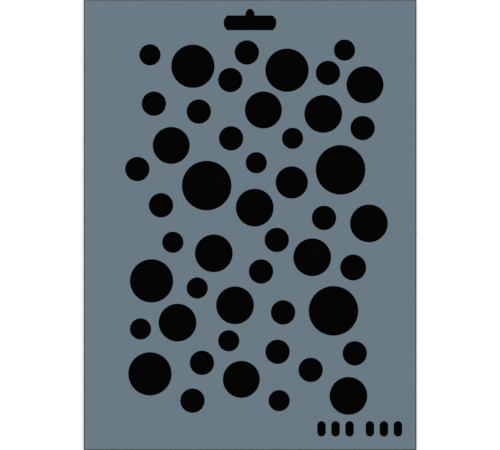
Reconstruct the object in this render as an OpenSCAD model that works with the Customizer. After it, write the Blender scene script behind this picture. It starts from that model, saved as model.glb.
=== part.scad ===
// Circle template on its backing card.
//
// A thin plastic sheet with 48 round cut-outs in eight sizes lies on a black card a hair larger than itself.
// Four removable glue dots hold it there, and it lifts straight off them for use. A euro hang slot is cut near
// the head of the sheet and a row of six index slots near its foot. The card has no cut-outs.
// The origin is the centre of the card's underside: +Z is up through the sheet, +Y points to the hang slot.

/* [Template sheet] */
// Width of the field of circles, between its outermost centres
field_w = 147; // [122:0.5:220]
// Height of the field of circles, between its outermost centres
field_h = 222.5; // [185:0.5:330]
// Margin from the field to the left side of the sheet
margin_left = 33.5; // [20:0.5:60]
// Margin from the field to the right side of the sheet
margin_right = 29.5; // [20:0.5:60]
// Gap between the field and the hang slot at the head
field_head_gap = 12.6; // [8:0.1:40]
// Gap between the field and the index slots at the foot
field_foot_gap = 13; // [10:0.1:40]
// Thickness of the plastic
sheet_t = 0.8; // [0.4:0.1:2]

/* [Circles] */
// Diameter that the smallest circles draw, size A
circle_a_d = 13; // [8:0.5:18]
// Diameter that the size B circles draw, the most common
circle_b_d = 15; // [8:0.5:19]
// Diameter that the size C circle draws
circle_c_d = 16; // [8:0.5:26]
// Diameter that the size D circle draws
circle_d_d = 20; // [8:0.5:30]
// Diameter that the size E circles draw
circle_e_d = 23; // [8:0.5:29]
// Diameter that the size F circles draw
circle_f_d = 23.5; // [8:0.5:30]
// Diameter that the size G circles draw
circle_g_d = 27; // [8:0.5:33]
// Diameter that the largest circles draw, size H
circle_h_d = 31; // [8:0.5:40]
// How much wider each circle is cut than it draws, for the pencil's lead
pencil_allowance = 0.5; // [0:0.1:1]

/* [Hang slot] */
// Length of the slot, side to side
hang_slot_w = 33.5; // [20:0.5:60]
// Height of the slot's straight part
hang_slot_h = 9.4; // [6:0.1:11.5]
// Radius of the arcs that close the slot's two ends
hang_slot_end_r = 5.8; // [4.8:0.1:10]
// Distance from the sheet's head to the middle of the slot
hang_slot_drop = 14.2; // [11:0.1:20]
// Width of the pointed notch that centres the slot on a peg
hang_notch_w = 5.8; // [3:0.1:7]
// Radius of the two arcs that close the notch in a point
hang_notch_r = 3.9; // [3:0.1:6]
// Height of the notch's straight sides, above the slot
hang_notch_rise = 0.6; // [0:0.1:2.5]

/* [Index slots] */
// Width of one index slot
index_w = 5.4; // [3:0.1:8]
// Height of one index slot
index_h = 9.8; // [6:0.1:13]
// Distance between neighbouring slots, centre to centre
index_pitch = 8.9; // [6.5:0.1:11]
// Extra distance between the two groups of slots
index_break = 4; // [0:0.5:8]
// Slots in each of the two groups
index_count = 3; // [1:1:4]
// Margin between the last slot and the side of the sheet
index_side_margin = 8.4; // [4:0.1:14]
// Margin between the slots and the foot of the sheet
index_foot_margin = 8.2; // [4:0.1:12]

/* [Backing card] */
// Thickness of the card
card_t = 1; // [0.3:0.1:3]
// How far the card reaches past the sheet, all round
card_overhang = 0.5; // [0:0.1:10]

/* [Glue dots] */
// Diameter of a glue dot
dot_d = 10; // [5:0.5:14]
// Thickness of a glue dot
dot_t = 0.3; // [0.1:0.05:1]
// Margin between a glue dot and the side of the sheet
dot_side_margin = 3; // [1:0.5:8]
// Gap between the lower glue dots and the index slots
dot_index_gap = 2.8; // [0.5:0.1:10]

/* [Hidden] */

$fn = 96;
// How far a cutting shape passes the faces that it cuts
through = 1;

// The diameter that each size draws and the centres of its circles, from the foot-left corner of the field
circles = [
    [circle_a_d, [
        [131.5, 222.5], [8, 219.5], [98.5, 166.5], [75.5, 151], [22.5, 100.5], [38, 71.5], [2, 45.5],
        [58, 38], [90, 0]
    ]],
    [circle_b_d, [
        [69.5, 221], [121, 208], [59, 203.5], [10.5, 188.5], [39, 183.5], [143, 173], [59.5, 166.5],
        [0, 147], [15, 124], [118.5, 116], [88.5, 102], [78.5, 82], [92.5, 56], [89, 31], [138, 30],
        [41, 24], [110, 19.5], [35, 0]
    ]],
    [circle_c_d, [[137, 84.5]]],
    [circle_d_d, [[98, 138.5]]],
    [circle_e_d, [[144.5, 200.5], [80, 184.5], [21.5, 162], [66, 13.5]]],
    [circle_f_d, [
        [118, 182], [74.5, 122.5], [147, 112.5], [48.5, 93.5], [111, 91], [62, 60.5], [25.5, 49.5],
        [134, 3]
    ]],
    [circle_g_d, [[35.25, 212.25], [95, 209.75], [9, 76], [8, 17]]],
    [circle_h_d, [[129, 146.5], [44, 136.5], [124.5, 57]]]
];

// The layout spreads from the size that it is drawn at to the size of the field
spread_x = field_w / max([for (size = circles, centre = size[1]) centre.x]);
spread_y = field_h / max([for (size = circles, centre = size[1]) centre.y]);

// The sheet is as large as its field, its margins and its two rows of slots make it
margin_head = hang_slot_drop + hang_slot_h / 2 + field_head_gap;
margin_foot = index_foot_margin + index_h + field_foot_gap;
sheet_w = margin_left + field_w + margin_right;
sheet_h = margin_foot + field_h + margin_head;
sheet_side = sheet_w / 2;
sheet_head = sheet_h / 2;
sheet_foot = -sheet_h / 2;

// The glue dots lie on the card, and the sheet on the dots
dot_z = card_t;
sheet_z = dot_z + dot_t;

hang_slot_y = sheet_head - hang_slot_drop;

index_last_x = sheet_side - index_side_margin - index_w / 2;
index_y = sheet_foot + index_foot_margin + index_h / 2;
index_group_shift = index_count * index_pitch + index_break;

// The lower glue dots clear the index slots, and the upper ones mirror them
dot_x = sheet_side - dot_side_margin - dot_d / 2;
dot_y = -(index_y + index_h / 2 + dot_index_gap + dot_d / 2);

// Extrudes a flat shape right through the sheet
module through_sheet() {
    translate([0, 0, sheet_z - through])
        linear_extrude(height = sheet_t + 2 * through)
            children();
}

// The round cut-outs, set out from the foot-left corner of the field
module circle_cuts() {
    translate([margin_left - sheet_side, sheet_foot + margin_foot, sheet_z - through])
        for (size = circles, centre = size[1])
            translate([centre.x * spread_x, centre.y * spread_y, 0])
                cylinder(d = size[0] + pencil_allowance, h = sheet_t + 2 * through);
}

// Euro hang slot: a long slot with arcs for ends, and a pointed notch over its middle
module hang_slot_outline() {
    end_x = hang_slot_w / 2 - hang_slot_end_r;
    notch_base = hang_slot_h / 2 + hang_notch_rise;
    notch_x = hang_notch_r - hang_notch_w / 2;

    intersection() {
        square([hang_slot_w, hang_slot_h], center = true);
        union() {
            square([2 * end_x, hang_slot_h], center = true);
            for (side = [-1, 1])
                translate([side * end_x, 0])
                    circle(r = hang_slot_end_r);
        }
    }
    translate([-hang_notch_w / 2, 0])
        square([hang_notch_w, notch_base]);
    translate([0, notch_base])
        intersection() {
            translate([-notch_x, 0])
                circle(r = hang_notch_r);
            translate([notch_x, 0])
                circle(r = hang_notch_r);
        }
}

// One index slot: upright, with round ends
module index_slot_outline() {
    straight = index_h - index_w;
    square([index_w, straight], center = true);
    for (side = [-1, 1])
        translate([0, side * straight / 2])
            circle(d = index_w);
}

// Two groups of index slots, set out from the last one
module index_outlines() {
    for (group = [0, 1], place = [0 : index_count - 1])
        translate([index_last_x - group * index_group_shift - place * index_pitch, index_y])
            index_slot_outline();
}

module template_sheet() {
    color("#6a7b85")
        difference() {
            translate([-sheet_side, sheet_foot, sheet_z])
                cube([sheet_w, sheet_h, sheet_t]);
            circle_cuts();
            through_sheet()
                translate([0, hang_slot_y])
                    hang_slot_outline();
            through_sheet()
                index_outlines();
        }
}

module backing_card() {
    color("#101214")
        translate([-sheet_side - card_overhang, sheet_foot - card_overhang, 0])
            cube([sheet_w + 2 * card_overhang, sheet_h + 2 * card_overhang, card_t]);
}

// One glue dot: side is -1 for left and 1 for right, end is -1 for the foot and 1 for the head
module glue_dot(side, end) {
    color("#d8dde0", 0.6)
        translate([side * dot_x, end * dot_y, dot_z])
            cylinder(d = dot_d, h = dot_t);
}

template_sheet();
backing_card();
glue_dot(-1, 1);  // glue_dot_head_left
glue_dot(1, 1);  // glue_dot_head_right
glue_dot(-1, -1);  // glue_dot_foot_left
glue_dot(1, -1);  // glue_dot_foot_right
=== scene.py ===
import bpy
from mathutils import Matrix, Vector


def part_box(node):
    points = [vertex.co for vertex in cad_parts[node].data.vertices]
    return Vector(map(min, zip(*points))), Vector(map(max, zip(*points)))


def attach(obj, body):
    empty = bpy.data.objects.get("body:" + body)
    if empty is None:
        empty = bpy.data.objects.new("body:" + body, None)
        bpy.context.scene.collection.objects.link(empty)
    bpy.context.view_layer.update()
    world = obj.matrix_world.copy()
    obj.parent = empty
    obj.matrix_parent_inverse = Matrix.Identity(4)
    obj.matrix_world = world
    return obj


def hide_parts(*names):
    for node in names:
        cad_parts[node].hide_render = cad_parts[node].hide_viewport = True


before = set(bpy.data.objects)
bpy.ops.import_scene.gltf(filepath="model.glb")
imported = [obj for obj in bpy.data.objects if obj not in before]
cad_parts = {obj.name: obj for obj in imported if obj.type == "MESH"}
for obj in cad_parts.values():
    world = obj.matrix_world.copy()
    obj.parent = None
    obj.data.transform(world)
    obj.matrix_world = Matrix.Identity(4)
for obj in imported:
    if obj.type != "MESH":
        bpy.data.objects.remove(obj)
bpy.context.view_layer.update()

import math

import bmesh
import bpy
from mathutils import Vector, noise

# ---------------------------------------------------------------------------------------------------------
# Camera. The sheet lies flat and is looked at from straight above with a long lens, so that the cut edges
# stand square to the view. The card's length fills the picture, less a hair at each end that keeps the
# floor out of it.

scene = bpy.context.scene
lens_mm = 400
sensor_mm = 36
picture_aspect = 500 / 450
end_crop = 0.00015
card_low, card_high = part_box("backing_card")
sheet_low, sheet_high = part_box("template_sheet")
picture_height = card_high.y - card_low.y - 2 * end_crop
picture_width = picture_height * picture_aspect

camera_data = bpy.data.cameras.new("camera")
camera_data.lens = lens_mm
camera_data.sensor_width = sensor_mm
camera = bpy.data.objects.new("camera", camera_data)
camera.location = (0, 0, sheet_low.z + picture_width * lens_mm / sensor_mm)
camera_data.clip_end = 3 * camera.location.z
scene.collection.objects.link(camera)
scene.camera = camera
scene.view_settings.view_transform = "Standard"

# ---------------------------------------------------------------------------------------------------------
# Surroundings: a plain pale floor, an even white sky and two wide soft lamps from either side of the head.
# No lamp hangs over the sheet, so the view from above is free of glare.

floor_size = 12.0
sky_strength = 0.55
lamps = {
    "key_lamp": dict(strength=1.75, lean=40, turn=40, spread=35),
    "fill_lamp": dict(strength=1.05, lean=50, turn=-55, spread=60),
}

for lamp_name, lamp in lamps.items():
    lamp_data = bpy.data.lights.new(lamp_name, "SUN")
    lamp_data.energy = lamp["strength"]
    lamp_data.angle = math.radians(lamp["spread"])
    lamp_object = bpy.data.objects.new(lamp_name, lamp_data)
    lamp_object.rotation_euler = (math.radians(-lamp["lean"]), 0, math.radians(lamp["turn"]))
    scene.collection.objects.link(lamp_object)

sky = bpy.data.worlds.new("studio_sky")
sky.use_nodes = True
sky.node_tree.nodes["Background"].inputs["Color"].default_value = (1, 1, 1, 1)
sky.node_tree.nodes["Background"].inputs["Strength"].default_value = sky_strength
scene.world = sky


class Number:
    """A number that varies over a surface. Python's operators on it add Math nodes to its finish."""

    def __init__(self, finish, socket):
        self.finish, self.socket = finish, socket

    def calculate(self, operation, *numbers):
        settings = {"operation": operation}
        return self.finish.node("ShaderNodeMath", settings, dict(enumerate(numbers)))["Value"]

    def __add__(self, other):
        return self.calculate("ADD", self, other)

    def __mul__(self, other):
        return self.calculate("MULTIPLY", self, other)

    def __radd__(self, other):
        return self.calculate("ADD", other, self)

    def __rmul__(self, other):
        return self.calculate("MULTIPLY", other, self)


class Finish:
    """A material made of nodes."""

    def __init__(self, name):
        self.material = bpy.data.materials.new(name)
        self.material.use_nodes = True
        self.tree = self.material.node_tree
        self.tree.nodes.clear()

    def node(self, kind, settings=None, inputs=None):
        """Adds a node, sets it up, then fills its sockets. Gives its outputs by name."""
        made = self.tree.nodes.new(kind)
        for setting, value in (settings or {}).items():
            if setting == "stops":
                set_stops(made.color_ramp, value)
            else:
                setattr(made, setting, value)
        usable = {socket.name: socket for socket in reversed(made.inputs) if socket.enabled}
        for key, value in (inputs or {}).items():
            socket = made.inputs[key] if isinstance(key, int) else usable[key]
            if isinstance(value, Number):
                self.tree.links.new(value.socket, socket)
            else:
                socket.default_value = value
        return {socket.name: Number(self, socket) for socket in made.outputs if socket.enabled}

    def where(self):
        """Points of the piece in metres, which move with it."""
        return self.node("ShaderNodeTexCoord")["Object"]

    def stretched(self, points, scale, turn=0.0):
        """Points scaled along each axis, after a turn in degrees in the plane of the sheet."""
        inputs = {"Vector": points, "Rotation": (0, 0, math.radians(turn))}
        turned = self.node("ShaderNodeMapping", {}, inputs)["Vector"]
        return self.node("ShaderNodeVectorMath", {"operation": "MULTIPLY"}, {0: turned, 1: scale})["Vector"]

    def noise(self, points, scale, detail=2.0, roughness=0.5):
        """Soft noise from 0 to 1 with about this many grains to the metre."""
        inputs = {"Vector": points, "Scale": scale, "Detail": detail, "Roughness": roughness}
        return self.node("ShaderNodeTexNoise", {}, inputs)["Fac"]

    def ramp(self, number, *stops):
        """A number read off a curve of (place, value) stops."""
        return self.node("ShaderNodeValToRGB", {"stops": stops}, {"Fac": number})["Color"]

    def mixed(self, share, first, second):
        """A colour between two, the second where share is 1."""
        inputs = {"Factor": share, "A": first, "B": second}
        return self.node("ShaderNodeMix", {"data_type": "RGBA"}, inputs)["Result"]

    def bumped(self, height, distance):
        """A surface normal raised by height times distance in metres."""
        inputs = {"Height": height, "Distance": distance, "Strength": 1.0}
        return self.node("ShaderNodeBump", {}, inputs)["Normal"]

    def surface(self, **inputs):
        """Ends the finish with one principled shader. Underscores in the names stand for spaces."""
        named = {name.replace("_", " "): value for name, value in inputs.items()}
        shader = self.node("ShaderNodeBsdfPrincipled", {}, named)["BSDF"]
        self.node("ShaderNodeOutputMaterial", {}, {"Surface": shader})
        return self.material


def set_stops(color_ramp, stops):
    """Sets a ramp's stops from (place, grey) pairs."""
    while len(color_ramp.elements) > 1:
        color_ramp.elements.remove(color_ramp.elements[-1])
    for index, (place, grey) in enumerate(stops):
        element = color_ramp.elements.new(place) if index else color_ramp.elements[0]
        element.position = place
        element.color = (grey, grey, grey, 1.0)


def add_piece(name, mesh, *materials):
    """Puts a mesh made in bmesh into the scene, with its materials."""
    data = bpy.data.meshes.new(name)
    mesh.to_mesh(data)
    mesh.free()
    for material in materials:
        data.materials.append(material)
    piece = bpy.data.objects.new(name, data)
    scene.collection.objects.link(piece)
    return piece


floor_paint = Finish("floor_paint")
mottle = floor_paint.noise(floor_paint.where(), scale=6.0, detail=3.0)
floor_paint = floor_paint.surface(
    Base_Color=floor_paint.mixed(mottle, (0.88, 0.88, 0.88, 1), (0.91, 0.91, 0.91, 1)),
    Roughness=0.9,
    Specular_IOR_Level=0.0,
)
mesh = bmesh.new()
bmesh.ops.create_grid(mesh, x_segments=1, y_segments=1, size=floor_size / 2)
floor = add_piece("floor", mesh, floor_paint)

# ---------------------------------------------------------------------------------------------------------
# Template sheet: calendered matte plastic, die-cut from above in one stroke. The knife rolls the upper edge
# of every cut over a little and leaves a finer edge below. The cut walls are smoother than the faces, with
# faint upright strokes.

roll_radius = 0.00010
roll_steps = 3
burr_size = 0.00003
weld_distance = 1e-6
arc_passes = 2
same_length = 0.03
sharpest_arc = math.radians(25)
sheet_colour = (0.1005, 0.1457, 0.1787, 1)
grain_depth = 0.000004
stroke_depth = 0.000012


def outlines_of(node):
    """The outlines of a flat CAD node's upper face as lists of points, with the material on their left."""
    mesh = bmesh.new()
    mesh.from_mesh(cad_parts[node].data)
    bmesh.ops.remove_doubles(mesh, verts=mesh.verts, dist=weld_distance)
    top = max(vertex.co.z for vertex in mesh.verts)
    upper = {face for face in mesh.faces if all(top - v.co.z < weld_distance for v in face.verts)}
    rim = [edge for edge in mesh.edges if sum(face in upper for face in edge.link_faces) == 1]
    neighbours = {}
    for edge in rim:
        for one, other in (edge.verts, reversed(edge.verts)):
            neighbours.setdefault(one, []).append(other)
    outlines = []
    while neighbours:
        vertex = next(iter(neighbours))
        loop = []
        while vertex in neighbours:
            loop.append(Vector(vertex.co.xy))
            onward = [other for other in neighbours.pop(vertex) if other in neighbours]
            if not onward:
                break
            vertex = onward[0]
        outlines.append(loop)
    mesh.free()
    for _ in range(arc_passes):
        outlines = [rounded(loop) for loop in outlines]
    largest = max(outlines, key=lambda loop: abs(area_of(loop)))
    return [loop if (area_of(loop) > 0) == (loop is largest) else loop[::-1] for loop in outlines]


def area_of(loop):
    """Area inside a loop, positive where it runs anticlockwise."""
    return sum(a.cross(b) for a, b in zip(loop, loop[1:] + loop[:1])) / 2


def rounded(loop):
    """The loop with a point added on the arc that each of its curved sides spans."""
    sides = [after - here for here, after in zip(loop, loop[1:] + loop[:1])]
    finer = []
    for i, (here, side) in enumerate(zip(loop, sides)):
        finer.append(here)
        for first, second in ((sides[i - 1], side), (side, sides[(i + 1) % len(sides)])):
            turn = math.atan2(first.cross(second), first.dot(second))
            alike = abs(first.length - second.length) < same_length * side.length
            if alike and abs(turn) < sharpest_arc:
                finer.append(here + side / 2 - side.orthogonal() * math.tan(turn / 4) / 2)
                break
    return finer


def inset(loop, distance):
    """The loop moved towards the material on its left, with its corners kept sharp."""
    moved = []
    for before, here, after in zip(loop[-1:] + loop[:-1], loop, loop[1:] + loop[:1]):
        arriving, leaving = (here - before).normalized(), (after - here).normalized()
        middle = arriving.orthogonal() + leaving.orthogonal()
        moved.append(here + middle * (2 * distance / middle.length_squared))
    return moved


def cut_profile(low, high):
    """(inset, height) pairs down a cut edge: its rolled top, its straight wall and its fine lower edge."""
    turns = [math.pi / 2 * step / roll_steps for step in range(roll_steps + 1)]
    rolled = [(roll_radius * (1 - math.sin(t)), high - roll_radius * (1 - math.cos(t))) for t in turns]
    return rolled + [(0.0, low + burr_size), (burr_size, low)]


def cut_slab(outlines, low, high):
    """A slab with the given outlines. Its straight cut walls take the piece's second material."""
    mesh = bmesh.new()
    rims = {low: [], high: []}
    for loop in outlines:
        rings = []
        for depth, height in cut_profile(low, high):
            rings.append([mesh.verts.new((p.x, p.y, height)) for p in inset(loop, depth)])
        for step, (upper, lower) in enumerate(zip(rings, rings[1:])):
            for i in range(len(upper)):
                wall = mesh.faces.new((upper[i], upper[i - 1], lower[i - 1], lower[i]))
                wall.smooth = True
                wall.material_index = int(step >= roll_steps)
        for ring, height in ((rings[0], high), (rings[-1], low)):
            rims[height] += [mesh.edges.get((ring[i], ring[i - 1])) for i in range(len(ring))]
    for height, edges in rims.items():
        way_up = (0, 0, 1 if height == high else -1)
        bmesh.ops.triangle_fill(mesh, use_beauty=True, edges=edges, normal=way_up)
        for edge in edges:
            edge.smooth = False
    bmesh.ops.recalc_face_normals(mesh, faces=mesh.faces)
    return mesh


def shaded(colour, share):
    """The colour made lighter or darker, as opaque as before."""
    return tuple(share * channel for channel in colour[:3]) + colour[3:]


lighter, darker = shaded(sheet_colour, 1.015), shaded(sheet_colour, 0.985)
wall_shadow = shaded(sheet_colour, 0.8)

plastic = Finish("sheet_plastic")
spot = plastic.where()
cloud = plastic.noise(spot, scale=35.0, detail=3.0)
speckle = plastic.noise(spot, scale=2600.0, detail=2.0)
grain = plastic.noise(spot, scale=5200.0, detail=3.0, roughness=0.6)
calender = plastic.noise(plastic.stretched(spot, (900.0, 40.0, 900.0)), scale=1.0, detail=2.0)
shade = cloud * 0.5 + speckle * 0.5
plastic = plastic.surface(
    Base_Color=plastic.mixed(shade, darker, lighter),
    Roughness=0.46 + grain * 0.12 + calender * 0.05,
    Specular_IOR_Level=0.35,
    Normal=plastic.bumped(grain + calender * 0.4, grain_depth),
)

cut_plastic = Finish("cut_plastic")
strokes = cut_plastic.stretched(cut_plastic.where(), (5200.0, 5200.0, 260.0))
strokes = cut_plastic.noise(strokes, scale=1.0, detail=3.0)
cut_plastic = cut_plastic.surface(
    Base_Color=cut_plastic.mixed(strokes, wall_shadow, lighter),
    Roughness=0.28 + strokes * 0.2,
    Specular_IOR_Level=0.4,
    Normal=cut_plastic.bumped(strokes, stroke_depth),
)
mesh = cut_slab(outlines_of("template_sheet"), sheet_low.z, sheet_high.z)
sheet = add_piece("cut_sheet", mesh, plastic, cut_plastic)
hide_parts("template_sheet")
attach(sheet, "template")

# ---------------------------------------------------------------------------------------------------------
# Backing card: dull black solid board, guillotined a hair larger than the sheet. Short paper fibres lie in
# three directions, a shade lighter than the board where they reach the face. The cut edge shows its plies.

card_colour = (0.0004, 0.0004, 0.0005, 1)
fibre_colour = (0.0016, 0.0017, 0.0019, 1)
ply_colour = (0.0240, 0.0240, 0.0250, 1)
fibre_turns = (12, 71, 133)
fibre_depth = 0.00002
ply_depth = 0.00003

board = Finish("black_card")
spot = board.where()
fibres = 0.0
for turn in fibre_turns:
    strand = board.noise(board.stretched(spot, (650.0, 5600.0, 1500.0), turn), scale=1.0, detail=2.0)
    fibres = fibres + board.ramp(strand, (0.58, 0.0), (0.70, 1.0))
pulp = board.noise(spot, scale=1400.0, detail=3.0, roughness=0.6)
board = board.surface(
    Base_Color=board.mixed(fibres * 0.5, card_colour, fibre_colour),
    Roughness=0.82 + pulp * 0.15,
    Specular_IOR_Level=0.02,
    Sheen_Weight=0.6,
    Sheen_Roughness=0.12,
    Sheen_Tint=(0.55, 0.58, 0.62, 1),
    Normal=board.bumped(pulp + fibres * 0.5, fibre_depth),
)

cut_board = Finish("cut_board")
spot = cut_board.where()
plies = cut_board.noise(cut_board.stretched(spot, (110.0, 110.0, 6500.0)), scale=1.0, detail=3.0)
fuzz = cut_board.noise(spot, scale=3800.0, detail=3.0, roughness=0.7)
cut_board = cut_board.surface(
    Base_Color=cut_board.mixed(plies * 0.7 + fuzz * 0.3, card_colour, ply_colour),
    Roughness=0.88 + fuzz * 0.1,
    Specular_IOR_Level=0.05,
    Normal=cut_board.bumped(plies + fuzz * 0.5, ply_depth),
)
mesh = cut_slab(outlines_of("backing_card"), card_low.z, card_high.z)
card = add_piece("cut_card", mesh, board, cut_board)
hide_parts("backing_card")
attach(card, "card")

# ---------------------------------------------------------------------------------------------------------
# Glue dots: four blobs of clear removable gel, pressed flat between card and sheet. They stay on the card
# when the sheet is lifted. Their rims are a little uneven and their tops slightly domed.

dot_segments = 72
dot_rings = 10
rim_waver = 0.03
waver_scale = 1.7
waver_shift = 40
foot_share = 0.97
rim_height = 0.5
dome_power = 4
clear_gel = (0.84, 0.85, 0.82, 1)
milky_gel = (0.95, 0.95, 0.93, 1)
dimple_depth = 0.00003

gel = Finish("glue_gel")
spot = gel.where()
milk = gel.noise(spot, scale=260.0, detail=2.0)
dimples = gel.noise(spot, scale=700.0, detail=0.0)
gel = gel.surface(
    Base_Color=gel.mixed(milk, clear_gel, milky_gel),
    Roughness=0.05 + milk * 0.10,
    Transmission_Weight=1.0,
    IOR=1.40,
    Normal=gel.bumped(dimples, dimple_depth),
)


def gel_dot(node):
    """A flat drop that fills its CAD disc: full thickness at the middle, thinning to a rounded rim."""
    low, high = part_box(node)
    middle, radius, thickness = (low + high) / 2, (high.x - low.x) / 2, high.z - low.z
    mesh = bmesh.new()

    def ring(share, height):
        corners = []
        for segment in range(dot_segments):
            turn = 2 * math.pi * segment / dot_segments
            out = Vector((math.cos(turn), math.sin(turn), 0))
            waver = rim_waver * (0.5 + 0.5 * noise.noise(out * waver_scale + middle * waver_shift))
            place = middle.xy.to_3d() + out * radius * share * (1 - waver)
            corners.append(mesh.verts.new(place + Vector((0, 0, low.z + thickness * height))))
        return corners

    rings = [ring(foot_share, 0.0)]
    for step in range(dot_rings):
        share = math.cos(math.pi / 2 * step / dot_rings)
        dome = math.sqrt(1 - share ** dome_power)
        rings.append(ring(share, rim_height + (1 - rim_height) * dome))
    for outer, inner in zip(rings, rings[1:]):
        for i in range(dot_segments):
            mesh.faces.new((outer[i - 1], outer[i], inner[i], inner[i - 1])).smooth = True
    mesh.faces.new(rings[-1]).smooth = True
    mesh.faces.new(rings[0][::-1])
    return mesh


for dot_name in [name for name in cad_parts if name.startswith("glue_dot")]:
    dot = add_piece(dot_name.replace("glue_dot", "gel_dot"), gel_dot(dot_name), gel)
    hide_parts(dot_name)
    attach(dot, "card")
